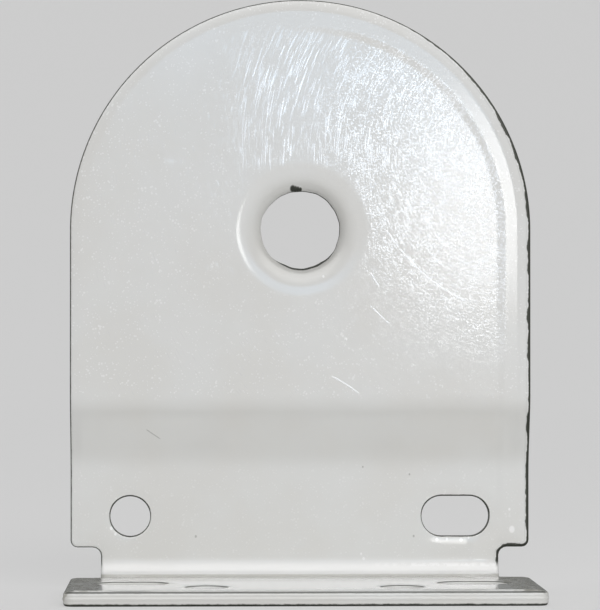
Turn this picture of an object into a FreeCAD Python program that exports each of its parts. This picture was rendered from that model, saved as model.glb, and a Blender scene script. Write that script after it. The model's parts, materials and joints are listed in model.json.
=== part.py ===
import FreeCAD, Part
import math
import os
import Sketcher
from FreeCAD import Rotation, Vector

# A roller blind bracket, pressed from one sheet of steel and enamelled.
# Millimetres and degrees. +Z is up, X runs across the plate, and -Y is the side
# that the fixing flange points to. The origin is on the roller's axis, in the plane
# of the front face of the lower plate.

# Driving sizes: name, value, meaning
SIZES = [
    ("sheet_thickness", 1.75, "steel and its enamel"),
    ("plate_width", 55.0, "across the upright plate and the flange"),
    ("hub_height", 43.05, "roller axis above the fixing face"),
    ("step_offset", 2.5, "how far the upper plate stands forward of the lower one"),
    ("step_start", 13.4, "fixing face to the foot of the step"),
    ("step_angle", 19.5, "slope of the step from upright"),
    ("step_foot_radius", 11.0, "front face, hollow bend at the foot of the step"),
    ("step_head_radius", 7.0, "front face, round bend at the head of the step"),
    ("flange_depth", 25.0, "front face of the lower plate to the flange's front edge"),
    ("fold_radius", 1.9, "inside radius of the fold"),
    ("notch_reach", 3.65, "how far the relief notches cut in from the sides"),
    ("notch_rise", 1.45, "notches above the end of the fold"),
    ("notch_radius", 1.0, "inner corners of the notches"),
    ("plate_corner_radius", 0.85, "lower corners of the plate, above the notches"),
    ("ear_corner_radius", 0.9, "back corners of the flange"),
    ("flange_corner_radius", 1.3, "front corners of the flange"),
    ("bore_radius", 4.8, "hole that the roller's end seats in"),
    ("mouth_radius", 3.0, "round of the drawn mouth, front face"),
    ("collar_thinning", 0.45, "what drawing takes off the sheet in the collar's wall"),
    ("collar_straight", 0.15, "straight end of the collar, past its round root"),
    ("screw_hole_radius", 2.4, "clearance for a small woodscrew, all holes and slots"),
    ("slot_length", 8.1, "end to end, all slots"),
    ("plate_hole_height", 8.85, "plate hole and slot above the fixing face"),
    ("plate_hole_inset", 7.15, "side of the plate to the round hole's centre"),
    ("plate_slot_inset", 8.9, "side of the plate to the slot's centre"),
    ("flange_hole_across", 11.2, "centre line to the round holes in the flange"),
    ("flange_hole_setback", 7.1, "front edge of the flange to those holes"),
    ("flange_slot_inset", 7.7, "side of the flange to the slots' centres"),
    ("flange_slot_setback", 13.2, "front edge of the flange to those slots"),
    ("edge_radius", 0.45, "rounding of the blanked edges"),
    ("rim_radius", 0.25, "rounding of the hole and slot rims"),
]

# Spare reach of a cutting outline past the sheet, and the least turn that counts as an edge
CUT_MARGIN = 3.0
SHARP_ANGLE = 40.0
QUARTER_TURN = 90.0

# Names for the places on a piece of sketch geometry, and for the sketch's own axes
START, END, CENTRE = range(1, 4)
LEVEL_AXIS, UPRIGHT_AXIS = range(-1, -3, -1)
ORIGIN_POINT = (LEVEL_AXIS, START)


class Size:
    """A number that carries the sheet formula it comes from, so that both are written once."""

    def __init__(self, number, formula):
        self.number = number
        self.formula = formula

    @staticmethod
    def of(other):
        return other if isinstance(other, Size) else Size(float(other), repr(float(other)))

    def joined(self, sign, other, number):
        return Size(number, "(%s %s %s)" % (self.formula, sign, Size.of(other).formula))

    def __add__(self, other):
        return self.joined("+", other, self.number + Size.of(other).number)

    def __sub__(self, other):
        return self.joined("-", other, self.number - Size.of(other).number)

    def __mul__(self, other):
        return self.joined("*", other, self.number * Size.of(other).number)

    def __truediv__(self, other):
        return self.joined("/", other, self.number / Size.of(other).number)

    def __neg__(self):
        return Size(-self.number, "(0 - %s)" % self.formula)


def size_sheet(doc):
    """Write the driving sizes into a sheet and hand them back by name."""
    sheet = doc.addObject("Spreadsheet::Sheet", "Sizes")
    for row, (name, number, meaning) in enumerate(SIZES, start=1):
        sheet.set("A%d" % row, name)
        sheet.set("B%d" % row, str(number))
        sheet.set("C%d" % row, meaning)
        sheet.setAlias("B%d" % row, name)
    doc.recompute()
    return {name: Size(float(sheet.get(name)), "Sizes.%s" % name) for name, number, meaning in SIZES}


def fold_height(size):
    """Height of the fold's upper end above the fixing face."""
    return size["sheet_thickness"] + size["fold_radius"]


def neck_half(size):
    """Half of the sheet's width between the two relief notches."""
    return size["plate_width"] / 2 - size["notch_reach"]


def mouth_reach(size):
    """Radius at which the drawn mouth starts to leave the plate's front face."""
    return size["bore_radius"] + size["mouth_radius"] - size["collar_thinning"]


def bind(item, prop, size):
    """Tie one property of an object to the sheet."""
    item.setExpression(prop, Size.of(size).formula)


def plane(body, role):
    return next(feature for feature in body.Origin.OriginFeatures if feature.Role == role)


def new_sketch(body, role, name, height=None):
    """A sketch on one of the body's own planes, lifted along it by height."""
    sketch = body.newObject("Sketcher::SketchObject", name)
    sketch.AttachmentSupport = [(plane(body, role), "")]
    sketch.MapMode = "FlatFace"
    if height is not None:
        bind(sketch, ".AttachmentOffset.Base.z", height)
    return sketch


def hold(sketch, kind, *where):
    """Add a constraint; a Size as its last item is bound to the sheet."""
    size = where[-1]
    if not isinstance(size, Size):
        sketch.addConstraint(Sketcher.Constraint(kind, *where))
        return
    index = sketch.addConstraint(Sketcher.Constraint(kind, *where[:-1], size.number))
    bind(sketch, "Constraints[%d]" % index, size)


def hold_across(sketch, geometry, point, size):
    hold(sketch, "DistanceX", *ORIGIN_POINT, geometry, point, size)


def hold_up(sketch, geometry, point, size):
    hold(sketch, "DistanceY", *ORIGIN_POINT, geometry, point, size)


def add_line(sketch, start, end):
    return sketch.addGeometry(Part.LineSegment(start, end), False)


def add_arc(sketch, centre, radius, start_angle, end_angle):
    """An arc that runs anticlockwise from one angle to the other, in degrees."""
    circle = Part.Circle(centre, Vector(0, 0, 1), radius)
    return sketch.addGeometry(
        Part.ArcOfCircle(circle, math.radians(start_angle), math.radians(end_angle)), False)


def rounded_outline(sketch, corners):
    """Close an outline of level and upright sides. A corner is across, up and a radius or None."""
    places = [Vector(across.number, up.number, 0) for across, up, radius in corners]
    count = len(corners)
    headings = [(places[(i + 1) % count] - places[i]).normalize() for i in range(count)]
    reaches = [radius.number if radius else 0.0 for across, up, radius in corners]
    sides = []
    for i, heading in enumerate(headings):
        after = (i + 1) % count
        side = add_line(sketch, places[i] + heading * reaches[i], places[after] - heading * reaches[after])
        sides.append(side)
        if abs(heading.x) > abs(heading.y):
            hold(sketch, "Horizontal", side)
            hold_up(sketch, side, START, corners[i][1])
        else:
            hold(sketch, "Vertical", side)
            hold_across(sketch, side, START, corners[i][0])
    for i, (across, up, radius) in enumerate(corners):
        before, after = sides[i - 1], sides[i]
        if radius is None:
            hold(sketch, "Coincident", before, END, after, START)
            continue
        arriving, leaving = headings[i - 1], headings[i]
        centre = places[i] + (leaving - arriving) * radius.number
        turns_left = arriving.cross(leaving).z > 0
        outward = -leaving if turns_left else arriving
        first = math.degrees(math.atan2(outward.y, outward.x))
        arc = add_arc(sketch, centre, radius.number, first, first + QUARTER_TURN)
        near, far = (START, END) if turns_left else (END, START)
        hold(sketch, "Tangent", before, END, arc, near)
        hold(sketch, "Tangent", arc, far, after, START)
        hold(sketch, "Radius", arc, radius)


def round_hole(sketch, across, up, radius):
    centre = Vector(across.number, up.number, 0)
    circle = sketch.addGeometry(Part.Circle(centre, Vector(0, 0, 1), radius.number), False)
    hold_across(sketch, circle, CENTRE, across)
    hold_up(sketch, circle, CENTRE, up)
    hold(sketch, "Radius", circle, radius)


def long_hole(sketch, across, up, length, radius):
    """A slot with round ends that runs across the sketch."""
    reach = length / 2 - radius
    right = Vector(across.number + reach.number, up.number, 0)
    left = Vector(across.number - reach.number, up.number, 0)
    side = Vector(0, radius.number, 0)
    right_end = add_arc(sketch, right, radius.number, -90, 90)
    top = add_line(sketch, right + side, left + side)
    left_end = add_arc(sketch, left, radius.number, 90, 270)
    bottom = add_line(sketch, left - side, right - side)
    hold(sketch, "Tangent", right_end, END, top, START)
    hold(sketch, "Tangent", top, END, left_end, START)
    hold(sketch, "Tangent", left_end, END, bottom, START)
    hold(sketch, "Tangent", bottom, END, right_end, START)
    hold(sketch, "Horizontal", top)
    hold(sketch, "Horizontal", bottom)
    hold(sketch, "Radius", right_end, radius)
    hold_across(sketch, right_end, CENTRE, across + reach)
    hold_across(sketch, left_end, CENTRE, across - reach)
    hold_up(sketch, right_end, CENTRE, up)


def side_profile(body, size):
    """The folded sheet seen from the side: flange, fold, lower plate, step and upper plate."""
    sketch = new_sketch(body, "YZ_Plane", "SideProfile")
    thickness = size["sheet_thickness"].number
    depth = size["flange_depth"].number
    fold = size["fold_radius"].number
    foot = size["step_foot_radius"].number
    head = size["step_head_radius"].number
    offset = size["step_offset"].number
    slope = size["step_angle"].number
    underside = -size["hub_height"].number
    top = size["plate_width"].number / 2

    sine, cosine = math.sin(math.radians(slope)), math.cos(math.radians(slope))
    ramp = (offset - (foot + head) * (1 - cosine)) / sine
    fold_centre = Vector(-fold, underside + thickness + fold, 0)
    foot_centre = Vector(-foot, underside + size["step_start"].number, 0)
    head_centre = Vector(head - offset, foot_centre.y + (foot + head) * sine + ramp * cosine, 0)
    outward = Vector(cosine, sine, 0)
    up = Vector(0, 1, 0)
    back = Vector(1, 0, 0)

    tip = add_line(sketch, Vector(-depth, underside, 0), Vector(-depth, underside + thickness, 0))
    flange_top = add_line(sketch, Vector(-depth, underside + thickness, 0), fold_centre - up * fold)
    fold_inside = add_arc(sketch, fold_centre, fold, -90, 0)
    lower_front = add_line(sketch, fold_centre + back * fold, foot_centre + back * foot)
    foot_front = add_arc(sketch, foot_centre, foot, 0, slope)
    ramp_front = add_line(sketch, foot_centre + outward * foot, head_centre - outward * head)
    head_front = add_arc(sketch, head_centre, head, 180, 180 + slope)
    upper_front = add_line(sketch, head_centre - back * head, Vector(-offset, top, 0))
    crown = add_line(sketch, Vector(-offset, top, 0), Vector(thickness - offset, top, 0))
    inner = head - thickness
    outer = foot + thickness
    upper_back = add_line(sketch, Vector(thickness - offset, top, 0), head_centre - back * inner)
    head_back = add_arc(sketch, head_centre, inner, 180, 180 + slope)
    ramp_back = add_line(sketch, head_centre - outward * inner, foot_centre + outward * outer)
    foot_back = add_arc(sketch, foot_centre, outer, 0, slope)
    lower_back = add_line(sketch, foot_centre + back * outer, fold_centre + back * (fold + thickness))
    fold_outside = add_arc(sketch, fold_centre, fold + thickness, -90, 0)
    flange_under = add_line(sketch, fold_centre - up * (fold + thickness), Vector(-depth, underside, 0))

    for first, first_end, second, second_end in (
            (tip, END, flange_top, START), (upper_front, END, crown, START),
            (crown, END, upper_back, START), (flange_under, END, tip, START)):
        hold(sketch, "Coincident", first, first_end, second, second_end)
    for first, first_end, second, second_end in (
            (flange_top, END, fold_inside, START), (fold_inside, END, lower_front, START),
            (lower_front, END, foot_front, START), (foot_front, END, ramp_front, START),
            (ramp_front, END, head_front, END), (head_front, START, upper_front, START),
            (upper_back, END, head_back, START), (head_back, END, ramp_back, START),
            (ramp_back, END, foot_back, END), (foot_back, START, lower_back, START),
            (lower_back, END, fold_outside, END), (fold_outside, START, flange_under, START)):
        hold(sketch, "Tangent", first, first_end, second, second_end)
    for level in (flange_top, crown, flange_under):
        hold(sketch, "Horizontal", level)
    for upright in (tip, lower_front, upper_front, upper_back, lower_back):
        hold(sketch, "Vertical", upright)
    for front, behind in ((fold_inside, fold_outside), (foot_front, foot_back), (head_front, head_back)):
        hold(sketch, "Coincident", front, CENTRE, behind, CENTRE)
    hold(sketch, "Parallel", ramp_front, ramp_back)

    hold_across(sketch, tip, START, -size["flange_depth"])
    hold_up(sketch, tip, START, -size["hub_height"])
    hold(sketch, "DistanceY", tip, START, tip, END, size["sheet_thickness"])
    hold(sketch, "PointOnObject", lower_front, START, UPRIGHT_AXIS)
    hold(sketch, "Radius", fold_inside, size["fold_radius"])
    hold(sketch, "DistanceY", tip, START, foot_front, CENTRE, size["step_start"])
    hold(sketch, "Radius", foot_front, size["step_foot_radius"])
    hold(sketch, "Radius", head_front, size["step_head_radius"])
    hold(sketch, "Angle", ramp_front, size["step_angle"] + QUARTER_TURN)
    hold_across(sketch, crown, START, -size["step_offset"])
    hold_up(sketch, crown, START, size["plate_width"] / 2)
    return sketch


def crown_cut(body, size):
    """What falls away above the plate's half-round top, which is centred on the roller's axis."""
    sketch = new_sketch(body, "XZ_Plane", "CrownCut")
    radius = size["plate_width"] / 2
    reach = radius + CUT_MARGIN
    far, near = reach.number, radius.number
    right = add_line(sketch, Vector(far, 0, 0), Vector(far, far, 0))
    top = add_line(sketch, Vector(far, far, 0), Vector(-far, far, 0))
    left = add_line(sketch, Vector(-far, far, 0), Vector(-far, 0, 0))
    left_foot = add_line(sketch, Vector(-far, 0, 0), Vector(-near, 0, 0))
    round_top = add_arc(sketch, Vector(0, 0, 0), near, 0, 180)
    right_foot = add_line(sketch, Vector(near, 0, 0), Vector(far, 0, 0))
    chain = ((right, END, top, START), (top, END, left, START), (left, END, left_foot, START),
             (left_foot, END, round_top, END), (round_top, START, right_foot, START),
             (right_foot, END, right, START))
    for first, first_end, second, second_end in chain:
        hold(sketch, "Coincident", first, first_end, second, second_end)
    for upright in (right, left):
        hold(sketch, "Vertical", upright)
    for level in (top, left_foot, right_foot):
        hold(sketch, "Horizontal", level)
    hold(sketch, "Coincident", round_top, CENTRE, *ORIGIN_POINT)
    hold(sketch, "Radius", round_top, radius)
    for end in (START, END):
        hold(sketch, "PointOnObject", round_top, end, LEVEL_AXIS)
    hold_across(sketch, right, START, reach)
    hold_across(sketch, left, START, -reach)
    hold_up(sketch, top, START, reach)
    return sketch


def plate_notch(body, size):
    """The notch as far as it lies in the upright plate, right side."""
    sketch = new_sketch(body, "XZ_Plane", "PlateNotch")
    neck = neck_half(size)
    edge = size["plate_width"] / 2
    past = edge + CUT_MARGIN
    fold_top = fold_height(size) - size["hub_height"]
    top = fold_top + size["notch_rise"]
    corner = size["plate_corner_radius"]
    rounded_outline(sketch, [
        (neck, fold_top, None),
        (past, fold_top, None),
        (past, top + corner * 2, None),
        (edge, top + corner * 2, None),
        (edge, top, corner),
        (neck, top, size["notch_radius"]),
    ])
    return sketch


def fold_notch(body, size):
    """The notch as far as it lies in the fold, right side, with the flange's back corner."""
    sketch = new_sketch(body, "XY_Plane", "FoldNotch", -size["hub_height"])
    neck = neck_half(size)
    edge = size["plate_width"] / 2
    past = edge + CUT_MARGIN
    behind = size["sheet_thickness"] + CUT_MARGIN
    ear_back = -size["fold_radius"]
    corner = size["ear_corner_radius"]
    rounded_outline(sketch, [
        (neck, behind, None),
        (neck, ear_back, size["notch_radius"]),
        (edge, ear_back, corner),
        (edge, ear_back - corner - corner, None),
        (past, ear_back - corner - corner, None),
        (past, behind, None),
    ])
    return sketch


def flange_corner(body, size):
    """The rounded front corner of the flange, right side."""
    sketch = new_sketch(body, "XY_Plane", "FlangeCorner", -size["hub_height"])
    edge = size["plate_width"] / 2
    front = -size["flange_depth"]
    corner = size["flange_corner_radius"]
    past, ahead = edge + CUT_MARGIN, front - CUT_MARGIN
    rounded_outline(sketch, [
        (edge, front, corner),
        (edge - corner - corner, front, None),
        (edge - corner - corner, ahead, None),
        (past, ahead, None),
        (past, front + corner * 2, None),
        (edge, front + corner * 2, None),
    ])
    return sketch


def flange_holes(body, size):
    """The round hole and the slot in the right half of the flange."""
    sketch = new_sketch(body, "XY_Plane", "FlangeHoles", -size["hub_height"])
    radius = size["screw_hole_radius"]
    round_hole(sketch, size["flange_hole_across"], size["flange_hole_setback"] - size["flange_depth"], radius)
    long_hole(sketch, size["plate_width"] / 2 - size["flange_slot_inset"],
              size["flange_slot_setback"] - size["flange_depth"], size["slot_length"], radius)
    return sketch


def plate_holes(body, size):
    """The round hole on the left and the slot on the right, low in the plate."""
    sketch = new_sketch(body, "XZ_Plane", "PlateHoles")
    radius = size["screw_hole_radius"]
    up = size["plate_hole_height"] - size["hub_height"]
    side = size["plate_width"] / 2
    round_hole(sketch, size["plate_hole_inset"] - side, up, radius)
    long_hole(sketch, side - size["plate_slot_inset"], up, size["slot_length"], radius)
    return sketch


def hub_blank(body, size):
    """The disc of plate that the drawn mouth takes the place of."""
    sketch = new_sketch(body, "XZ_Plane", "HubBlank")
    round_hole(sketch, Size.of(0), Size.of(0), mouth_reach(size))
    return sketch


def hub_section(body, size):
    """Half section of the drawn mouth and its collar, turned about the roller's axis."""
    sketch = new_sketch(body, "YZ_Plane", "HubSection")
    mouth = size["mouth_radius"].number
    bore = size["bore_radius"].number
    thickness = size["sheet_thickness"].number
    wall = thickness - size["collar_thinning"].number
    front = -size["step_offset"].number
    back = front + thickness
    end = front + mouth + size["collar_straight"].number
    reach = mouth_reach(size).number
    centre = Vector(front + mouth, reach, 0)
    bend = mouth - thickness
    lip_angle = math.degrees(math.asin((reach - bore) / mouth))
    lip = centre.x - mouth * math.cos(math.radians(lip_angle))

    rim = add_line(sketch, Vector(front, reach, 0), Vector(back, reach, 0))
    root = add_arc(sketch, centre, bend, 180, 270)
    outside = add_line(sketch, Vector(centre.x, bore + wall, 0), Vector(end, bore + wall, 0))
    lower = add_line(sketch, Vector(end, bore + wall, 0), Vector(end, bore, 0))
    bore_wall = add_line(sketch, Vector(end, bore, 0), Vector(lip, bore, 0))
    mouth_face = add_arc(sketch, centre, mouth, 180, 180 + lip_angle)

    chain = ((outside, END, lower, START), (lower, END, bore_wall, START),
             (bore_wall, END, mouth_face, END), (mouth_face, START, rim, START),
             (rim, END, root, START))
    for first, first_end, second, second_end in chain:
        hold(sketch, "Coincident", first, first_end, second, second_end)
    hold(sketch, "Tangent", root, END, outside, START)
    hold(sketch, "Coincident", root, CENTRE, mouth_face, CENTRE)
    for level in (rim, outside, bore_wall):
        hold(sketch, "Horizontal", level)
    hold(sketch, "Vertical", lower)
    hold(sketch, "Radius", mouth_face, size["mouth_radius"])
    hold_across(sketch, rim, START, -size["step_offset"])
    hold_up(sketch, mouth_face, CENTRE, mouth_reach(size))
    hold_up(sketch, rim, START, mouth_reach(size))
    hold_up(sketch, bore_wall, START, size["bore_radius"])
    hold(sketch, "DistanceX", rim, START, rim, END, size["sheet_thickness"])
    hold_across(sketch, lower, START, size["mouth_radius"] + size["collar_straight"] - size["step_offset"])
    return sketch


def pad(body, sketch, name, length):
    """Thicken a sketch to both sides of its plane."""
    feature = body.newObject("PartDesign::Pad", name)
    feature.Profile = sketch
    feature.SideType = "Symmetric"
    bind(feature, "Length", length)
    return feature


def cut_through(body, sketch, name):
    """Cut a sketch right through the body, to both sides of its plane."""
    feature = body.newObject("PartDesign::Pocket", name)
    feature.Profile = sketch
    feature.SideType = "Symmetric"
    feature.Type = "ThroughAll"
    return feature


def cut_up(body, sketch, name, height):
    """Cut a sketch upward from its plane by a height."""
    feature = body.newObject("PartDesign::Pocket", name)
    feature.Profile = sketch
    feature.Reversed = True
    bind(feature, "Length", height)
    return feature


def revolve(body, sketch, name, role):
    """Turn a sketch right round one of the body's own axes."""
    feature = body.newObject("PartDesign::Revolution", name)
    feature.Profile = sketch
    feature.ReferenceAxis = (plane(body, role), [""])
    feature.Angle = 4 * QUARTER_TURN
    return feature


def mirror(body, features, name, role):
    """Repeat features on the other side of one of the body's own planes."""
    feature = body.newObject("PartDesign::Mirrored", name)
    feature.Originals = features
    feature.MirrorPlane = (plane(body, role), [""])
    body.Tip = feature
    return feature


def meeting_angle(edge, first, second):
    """Angle between the outward normals of two faces, halfway along their shared edge."""
    middle = edge.valueAt((edge.FirstParameter + edge.LastParameter) / 2)
    normals = [face.normalAt(*face.Surface.parameter(middle)) for face in (first, second)]
    return math.degrees(normals[0].getAngle(normals[1]))


def sharp_edges(shape):
    """The edges where two faces meet at a clear angle: those round holes, and the others."""
    faces_beside = {}
    in_holes = set()
    for face in shape.Faces:
        outer = face.OuterWire
        for wire in face.Wires:
            for edge in wire.Edges:
                faces_beside.setdefault(edge.hashCode(), []).append(face)
                if not wire.isSame(outer):
                    in_holes.add(edge.hashCode())
    rims, outline = [], []
    for number, edge in enumerate(shape.Edges, start=1):
        faces = faces_beside[edge.hashCode()]
        if len(faces) == 2 and meeting_angle(edge, *faces) > SHARP_ANGLE:
            names = rims if edge.hashCode() in in_holes else outline
            names.append(("Edge%d" % number, edge))
    return rims, outline


def clear_of_hub(edges, size):
    """Names of the edges that don't circle the roller's axis; the collar's end stays as cut."""
    names = []
    for name, edge in edges:
        middle = edge.BoundBox.Center
        if math.hypot(middle.x, middle.z) > size["bore_radius"].number / 2:
            names.append(name)
    return names


def round_edges(body, base, name, edges, radius):
    feature = body.newObject("PartDesign::Fillet", name)
    feature.Base = (base, edges)
    bind(feature, "Radius", radius)
    return feature


def build_bracket(doc, size):
    """The whole bracket, in the order in which its tools would shape it."""
    body = doc.addObject("PartDesign::Body", "Bracket")
    body.Label = "bracket"
    pad(body, side_profile(body, size), "FoldedSheet", size["plate_width"])
    cut_through(body, crown_cut(body, size), "RoundTop")
    doc.recompute()

    depth = fold_height(size)
    mirror(body, [
        cut_through(body, plate_notch(body, size), "NotchInPlate"),
        cut_up(body, fold_notch(body, size), "NotchInFold", depth),
        cut_up(body, flange_corner(body, size), "FrontCorner", depth),
        cut_up(body, flange_holes(body, size), "HolesInFlange", depth),
    ], "OtherSide", "YZ_Plane")
    doc.recompute()

    cut_through(body, plate_holes(body, size), "HolesInPlate")
    cut_through(body, hub_blank(body, size), "HubOpening")
    hub = revolve(body, hub_section(body, size), "DrawnHub", "Y_Axis")
    doc.recompute()

    rims, outline = sharp_edges(hub.Shape)
    rounded = round_edges(body, hub, "RoundedEdges", clear_of_hub(outline, size), size["edge_radius"])
    doc.recompute()
    rims, outline = sharp_edges(rounded.Shape)
    round_edges(body, rounded, "RoundedRims", clear_of_hub(rims, size), size["rim_radius"])
    body.Placement = FreeCAD.Placement(Vector(0, 0, 0), Rotation())
    doc.recompute()
    return body


def check_document(doc):
    """Stop if an object has failed, a sketch is loose or a feature has left the solid as it was."""
    for item in doc.Objects:
        if {"Invalid", "Error"} & set(item.State):
            raise RuntimeError("%s failed: %s" % (item.Name, item.State))
        if item.TypeId == "Sketcher::SketchObject" and not item.FullyConstrained:
            raise RuntimeError("%s isn't fully constrained" % item.Name)
        base = getattr(item, "BaseFeature", None)
        if base and not item.TypeId.endswith("Body"):
            gained = item.Shape.Volume - base.Shape.Volume
            adds = item.TypeId.endswith("Revolution")
            if adds != (gained > 0) or gained == 0:
                raise RuntimeError("%s changed the solid by %.3f cubic mm" % (item.Name, gained))


def write_parts(bodies):
    os.makedirs("parts", exist_ok=True)
    for body in bodies:
        shape = body.Shape
        if shape.isNull() or not shape.isValid() or len(shape.Solids) != 1:
            raise RuntimeError("%s isn't one valid solid" % body.Label)
        shape.exportStep("parts/%s.step" % body.Label)
        print("%s: %.1f cubic mm, %d faces" % (body.Label, shape.Volume, len(shape.Faces)))


def main():
    doc = FreeCAD.newDocument("RollerBlindBracket")
    size = size_sheet(doc)
    bracket = build_bracket(doc, size)
    check_document(doc)
    write_parts([bracket])


main()
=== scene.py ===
import json
import math

import bpy
import numpy as np
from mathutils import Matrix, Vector
from mathutils.geometry import delaunay_2d_cdt


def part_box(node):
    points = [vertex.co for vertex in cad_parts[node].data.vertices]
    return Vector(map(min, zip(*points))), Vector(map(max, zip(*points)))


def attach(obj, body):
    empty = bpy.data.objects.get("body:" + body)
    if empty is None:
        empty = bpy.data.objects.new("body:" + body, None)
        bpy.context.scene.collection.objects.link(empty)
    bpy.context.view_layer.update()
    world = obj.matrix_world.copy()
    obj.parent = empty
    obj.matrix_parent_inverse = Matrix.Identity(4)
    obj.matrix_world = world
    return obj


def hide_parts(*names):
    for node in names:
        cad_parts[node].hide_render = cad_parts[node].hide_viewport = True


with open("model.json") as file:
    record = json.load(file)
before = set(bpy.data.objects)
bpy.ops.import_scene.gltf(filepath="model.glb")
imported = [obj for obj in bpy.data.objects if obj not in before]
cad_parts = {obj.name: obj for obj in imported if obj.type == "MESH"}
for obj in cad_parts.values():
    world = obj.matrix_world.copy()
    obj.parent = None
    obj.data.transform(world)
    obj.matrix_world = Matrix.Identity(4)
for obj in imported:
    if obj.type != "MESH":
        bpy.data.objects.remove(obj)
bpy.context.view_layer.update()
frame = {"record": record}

# A roller blind bracket in white gloss enamel. Sizes are in millimetres and angles in
# degrees, in the part's own frame: +Z up, -Y towards the fixing flange's side, and the
# origin on the roller's axis. The sheet is drawn flat, as its blank, and then folded.
MM = 0.001
RECORD = frame["record"]
MOUNTS = {mount["name"]: mount for mount in RECORD["mounts"]}
BOX_LOW, BOX_HIGH = (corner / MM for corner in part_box("bracket"))

SHEET = BOX_HIGH.y
PLATE_WIDTH = BOX_HIGH.x - BOX_LOW.x
FLANGE_DEPTH = -BOX_LOW.y
HUB_HEIGHT = -BOX_LOW.z

# The folds, as radii on the front face
FOLD_RADIUS = 1.9
STEP_OFFSET = 2.5
STEP_START = 13.4
STEP_ANGLE = 19.5
STEP_FOOT_RADIUS = 11.0
STEP_HEAD_RADIUS = 7.0

# The blank's outline
NOTCH_REACH = 3.65
NOTCH_RISE = 1.45
NOTCH_CORNER = 1.0
PLATE_CORNER = 0.85
EAR_CORNER = 0.9
FLANGE_CORNER = 1.3

# The drawn hub: dish, bore and collar
DISH_RADIUS = 9.9
DISH_TILT = 66.0
DISH_SHARPNESS = 5.45
SHOULDER_TILT = 1.0
SHOULDER_RADII = (6.9, 7.3, 7.6, 8.0)
BORE_RADIUS = MOUNTS["roller_seat"]["dims"]["r_mm"]
COLLAR_END = 3.15
COLLAR_WALL = 1.3
COLLAR_ROOT = 1.25
HUB_SURROUND = 10.2
THROAT = 0.6

# The bore is out of round: how far outside it that begins, its mean tightness, waves as count,
# turn and height, and how much, where and from which depth the bottom of the collar closes in
BORE_BLEND = 0.9
BORE_TIGHTNESS = 0.07
BORE_WAVES = [(3, 0.6, 0.04), (7, 2.0, 0.03), (19, 0.0, 0.015)]
BOTTOM_CLOSES = 0.24
BOTTOM_TURN = -0.1
BOTTOM_SPREAD = (0.55, 0.95)
BOTTOM_DEPTH = 1.2

# Edges, and how the enamel lies along them
EDGE_RADIUS = 0.45
RIM_RADIUS = 0.25
BEAD_HEIGHT = 0.042
BEAD_CREST = (1.6, 2.95)
BEAD_END = 4.1
BEAD_GROWS = (-6.0, 14.0)
EDGE_DROOP = 0.15
ROLL_DEPTH = 0.065
ROLL_WIDTH = 1.7
SHEAR_RIDGE = 0.068
SHEAR_FLANK = (0.66, 0.88)
SHEAR_FOOT = 1.25
FAR = 9.0

# How finely the mesh is drawn
EDGE_PITCH = 0.4
RING_PITCH = 0.26
GRID_PITCH = 0.9
BEND_TURN = 4.0
ROLL_PITCH = 0.22
EDGE_STEPS = 6
WALL_STEPS = 14
DISH_RINGS = 36
THROAT_RINGS = 13
ROOT_STEPS = 8
BORE_SHARES = (0.04, 0.1, 0.2, 0.4, 0.6, 0.8, 0.94, 1.0)
COLLAR_SHARES = (0.0, 0.15, 0.5, 0.85, 1.0)
BARE_FROM = (0.0, 0.1)


def smooth(value, low, high):
    """0 below low, 1 above high and an even slope between them."""
    share = np.clip((value - low) / (high - low), 0.0, 1.0)
    return share * share * (3.0 - 2.0 * share)


# The fold line: stretches of the front face from the flange's front edge upward
def folded_path():
    """Each stretch as its start along the sheet, its y and z, its heading and its curvature."""
    slope = math.radians(STEP_ANGLE)
    shortfall = (STEP_FOOT_RADIUS + STEP_HEAD_RADIUS) * (1 - math.cos(slope))
    ramp = (STEP_OFFSET - shortfall) / math.sin(slope)
    stretches = [
        (FLANGE_DEPTH - FOLD_RADIUS, 0.0),
        (FOLD_RADIUS * math.pi / 2, 1 / FOLD_RADIUS),
        (STEP_START - SHEET - FOLD_RADIUS, 0.0),
        (STEP_FOOT_RADIUS * slope, 1 / STEP_FOOT_RADIUS),
        (ramp, 0.0),
        (STEP_HEAD_RADIUS * slope, -1 / STEP_HEAD_RADIUS),
        (PLATE_WIDTH, 0.0),
    ]
    path = []
    along, y, z, heading = 0.0, -FLANGE_DEPTH, SHEET - HUB_HEIGHT, 0.0
    for length, curvature in stretches:
        path.append((along, y, z, heading, curvature, length))
        turn = curvature * length
        chord = length * np.sinc(turn / (2 * math.pi))
        y += chord * math.cos(heading + turn / 2)
        z += chord * math.sin(heading + turn / 2)
        heading += turn
        along += length
    return path


PATH = folded_path()
_, FOLD, LOWER_PLATE, *_, UPPER_PLATE = PATH


def along_plate(stretch, height):
    """Length along the sheet at a height, on an upright stretch."""
    return stretch[0] + height - stretch[2]


def folded(points, normals):
    """Take blank coordinates (across, along, depth) and normals (across, along, front) into space."""
    across, along, depth = points.T
    starts = np.array([stretch[0] for stretch in PATH])
    which = np.clip(np.searchsorted(starts, along, side="right") - 1, 0, None)
    start, y, z, heading, curvature, _ = np.array(PATH)[which].T
    passed = along - start
    turn = curvature * passed
    chord = passed * np.sinc(turn / (2 * math.pi))
    middle = heading + turn / 2
    heading = heading + turn
    ahead = np.stack([np.zeros_like(heading), np.cos(heading), np.sin(heading)], axis=1)
    front = np.stack([np.zeros_like(heading), -np.sin(heading), np.cos(heading)], axis=1)
    face = np.stack([across, y + chord * np.cos(middle), z + chord * np.sin(middle)], axis=1)
    aside = np.array([[1.0, 0.0, 0.0]])
    place = face - front * depth[:, None]
    normal = aside * normals[:, :1] + ahead * normals[:, 1:2] + front * normals[:, 2:]
    return place, normal / np.linalg.norm(normal, axis=1, keepdims=True)


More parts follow.
